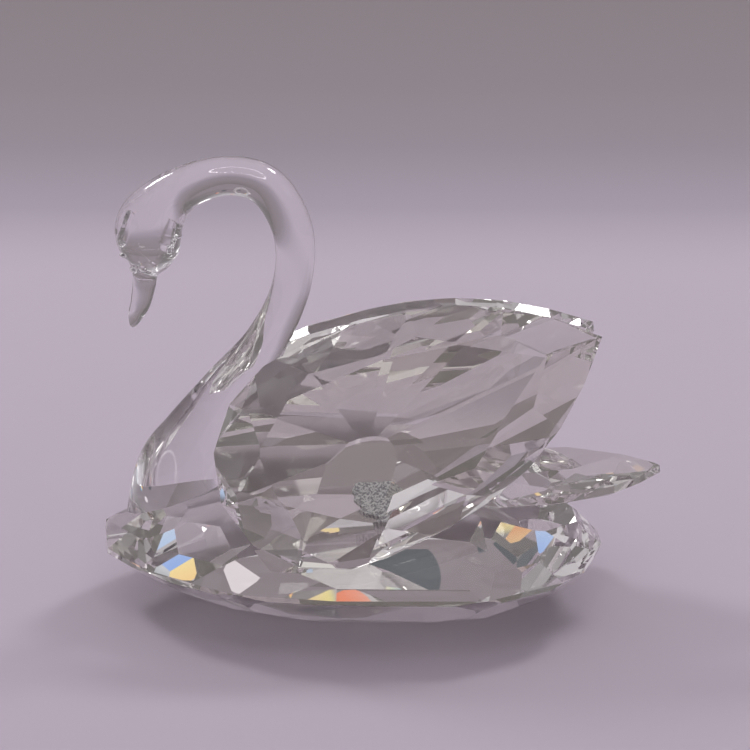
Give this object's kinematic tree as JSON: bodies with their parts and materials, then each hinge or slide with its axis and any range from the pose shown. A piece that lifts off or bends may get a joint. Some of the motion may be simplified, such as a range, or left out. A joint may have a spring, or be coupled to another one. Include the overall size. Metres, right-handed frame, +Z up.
{
  "type": "crystal swan figurine",
  "caption": "Small clear cut-crystal swan that stands on its flat-bottomed body, with a smooth curved neck, two leaning wings and a tail.",
  "frame": {"origin": "on the ground, under the centre of the whole figurine's box", "axes": "+Z up, the swan faces -X and its tail points to +X, its left side is -Y"},
  "size_m": [0.077, 0.043, 0.0631],
  "materials": {
    "body_crystal": "polished, faceted clear lead crystal",
    "wing_crystal": "polished, faceted clear lead crystal",
    "tail_crystal": "polished, faceted clear lead crystal",
    "neck_crystal": "smooth fire-polished clear lead crystal"
  },
  "bodies": {
    "root": {"body": "body_crystal", "wing_left": "wing_crystal", "wing_right": "wing_crystal", "tail": "tail_crystal", "neck_and_head": "neck_crystal"}
  },
  "joints": []
}
